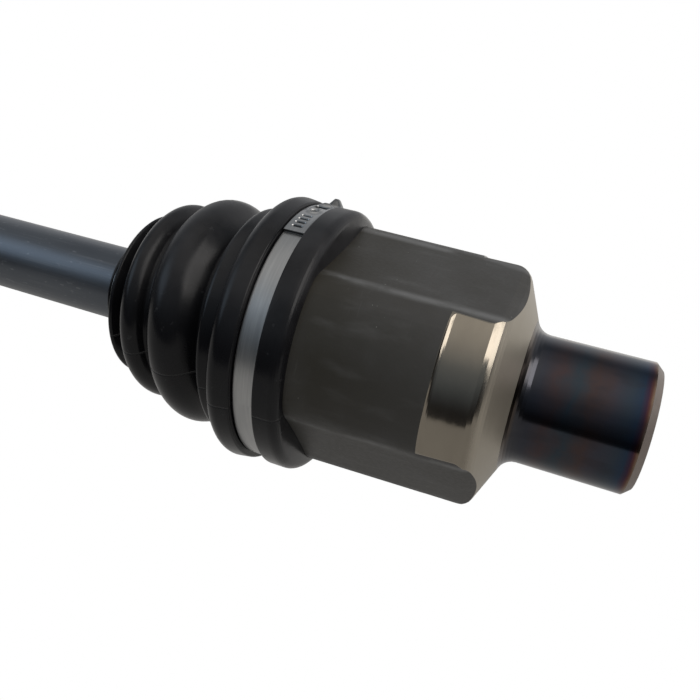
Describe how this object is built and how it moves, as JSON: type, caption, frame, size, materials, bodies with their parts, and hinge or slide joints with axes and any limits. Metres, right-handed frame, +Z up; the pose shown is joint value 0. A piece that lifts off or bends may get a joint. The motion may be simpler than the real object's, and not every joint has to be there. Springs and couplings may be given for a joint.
{
  "type": "drive shaft",
  "caption": "Steel drive shaft with a sliding tripod joint at one end, a fixed ball joint at the other, and a folded rubber boot on each.",
  "frame": {"origin": "centre of the mouth of the splined bore in the inboard stub's end face", "axes": "+X out of the bore, so the shaft runs towards -X; +Z up, with one lobe of the inboard housing pointing down"},
  "size_m": [0.569, 0.089, 0.089],
  "materials": {
    "forging": "dark olive phosphate over a forged skin, with turned bright pads and a heat-blued stub",
    "bell_forging": "dark phosphate with a ground shoulder and journal",
    "bar_steel": "satin blue-grey induction-hardened steel",
    "bearing_steel": "ground and polished",
    "machined_steel": "turned and hardened",
    "spring_steel": "dark oiled spring steel",
    "plated_plug": "pressed and zinc plated",
    "boot_rubber": "smooth moulded black elastomer",
    "clamp_steel": "rolled stainless band"
  },
  "bodies": {
    "inboard": {"inboard_housing": "forging", "bore_plug": "plated_plug", "boot_insert": "boot_rubber", "inboard_boot": "boot_rubber", "inboard_large_clamp": "clamp_steel"},
    "bar": {"shaft_bar": "bar_steel", "tripod_spider": "machined_steel", "needles_a": "bearing_steel", "needles_b": "bearing_steel", "needles_c": "bearing_steel", "roller_washers": "machined_steel", "roller_clips": "spring_steel", "spider_stop_ring": "spring_steel", "spider_end_ring": "spring_steel", "inner_race": "bearing_steel", "race_ring": "spring_steel", "inboard_small_clamp": "clamp_steel", "outboard_small_clamp": "clamp_steel"},
    "roller_a": {"roller_a": "bearing_steel"},
    "roller_b": {"roller_b": "bearing_steel"},
    "roller_c": {"roller_c": "bearing_steel"},
    "cage": {"cage": "machined_steel", "ball_a": "bearing_steel", "ball_d": "bearing_steel"},
    "ball_b": {"ball_b": "bearing_steel"},
    "ball_c": {"ball_c": "bearing_steel"},
    "ball_e": {"ball_e": "bearing_steel"},
    "ball_f": {"ball_f": "bearing_steel"},
    "bell": {"outboard_housing": "bell_forging", "outboard_boot": "boot_rubber", "outboard_large_clamp": "clamp_steel"}
  },
  "joints": [
    {"name": "plunge", "type": "slide", "parent": "inboard", "child": "bar", "axis": [1, 0, 0], "range_m": [-0.019, 0.012], "deforming": ["inboard_boot"]},
    {"name": "roller_a_roll", "type": "hinge", "parent": "bar", "child": "roller_a", "pos_m": [-0.08, 0, 0], "axis": [0, 0.866, 0.5], "range_deg": [-66, 66]},
    {"name": "roller_b_roll", "type": "hinge", "parent": "bar", "child": "roller_b", "pos_m": [-0.08, 0, 0], "axis": [0, -0.866, 0.5], "range_deg": [-66, 66]},
    {"name": "roller_c_roll", "type": "hinge", "parent": "bar", "child": "roller_c", "pos_m": [-0.08, 0, 0], "axis": [0, 0, -1], "range_deg": [-66, 66]},
    {"name": "outboard_tilt", "type": "hinge", "parent": "bar", "child": "bell", "pos_m": [-0.46, 0, 0], "axis": [0, 0, 1], "range_deg": [-40, 40], "deforming": ["outboard_boot"]},
    {"name": "cage_tilt", "type": "hinge", "parent": "bar", "child": "cage", "pos_m": [-0.46, 0, 0], "axis": [0, 0, 1], "range_deg": [-21, 21]},
    {"name": "ball_b_roll", "type": "hinge", "parent": "bar", "child": "ball_b", "pos_m": [-0.46, 0, 0], "axis": [0, -0.5, 0.866], "range_deg": [-18, 18]},
    {"name": "ball_c_roll", "type": "hinge", "parent": "bar", "child": "ball_c", "pos_m": [-0.46, 0, 0], "axis": [0, 0.5, 0.866], "range_deg": [-18, 18]},
    {"name": "ball_e_roll", "type": "hinge", "parent": "bar", "child": "ball_e", "pos_m": [-0.46, 0, 0], "axis": [0, 0.5, -0.866], "range_deg": [-18, 18]},
    {"name": "ball_f_roll", "type": "hinge", "parent": "bar", "child": "ball_f", "pos_m": [-0.46, 0, 0], "axis": [0, -0.5, -0.866], "range_deg": [-18, 18]}
  ],
  "couplings": [
    {"joint": "roller_a_roll", "follows": "plunge", "rad_per_m": 58.824},
    {"joint": "roller_b_roll", "follows": "plunge", "rad_per_m": 58.824},
    {"joint": "roller_c_roll", "follows": "plunge", "rad_per_m": 58.824},
    {"joint": "cage_tilt", "follows": "outboard_tilt", "ratio": 0.5},
    {"joint": "ball_b_roll", "follows": "outboard_tilt", "ratio": 0.43301},
    {"joint": "ball_c_roll", "follows": "outboard_tilt", "ratio": 0.43301},
    {"joint": "ball_e_roll", "follows": "outboard_tilt", "ratio": -0.43301},
    {"joint": "ball_f_roll", "follows": "outboard_tilt", "ratio": -0.43301}
  ]
}
